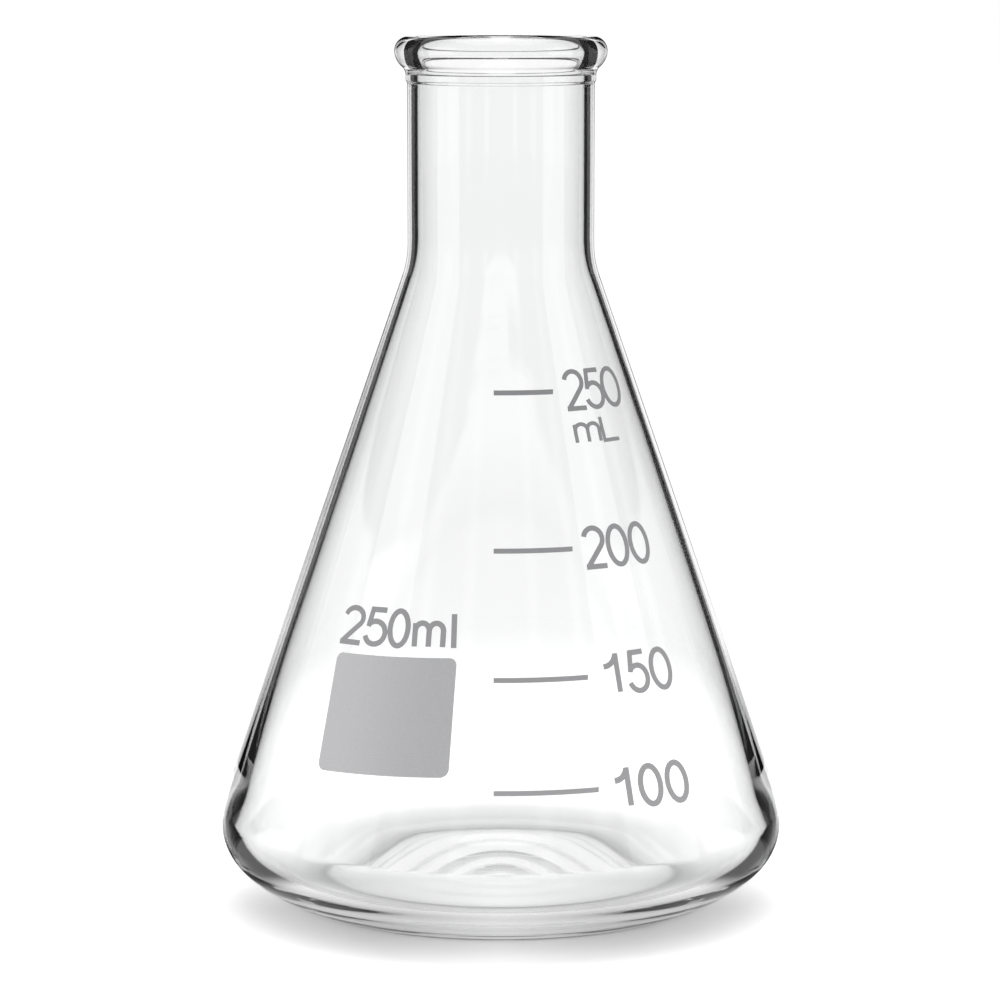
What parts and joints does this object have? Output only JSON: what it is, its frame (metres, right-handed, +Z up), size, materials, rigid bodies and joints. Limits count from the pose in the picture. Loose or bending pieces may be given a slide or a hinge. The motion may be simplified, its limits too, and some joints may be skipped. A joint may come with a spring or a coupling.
{
  "type": "erlenmeyer flask",
  "caption": "Clear glass conical flask with a rolled rim, straight neck, rounded heel and printed graduation lines, for mixing and heating liquids.",
  "frame": {"origin": "centre of the base, on the surface that the flask stands on", "axes": "+Z up along the flask's axis, towards the mouth; the printed marks face -Y; +X is to the right of someone who reads them"},
  "size_m": [0.085, 0.085, 0.13],
  "materials": {
    "glass": "clear, fire-polished borosilicate glass",
    "patch_enamel": "matt fired enamel with a fine screen-print weave",
    "line_enamel": "matt fired enamel"
  },
  "bodies": {
    "root": {"flask_body": "glass", "marking_patch": "patch_enamel", "graduation_lines": "line_enamel"}
  },
  "joints": []
}
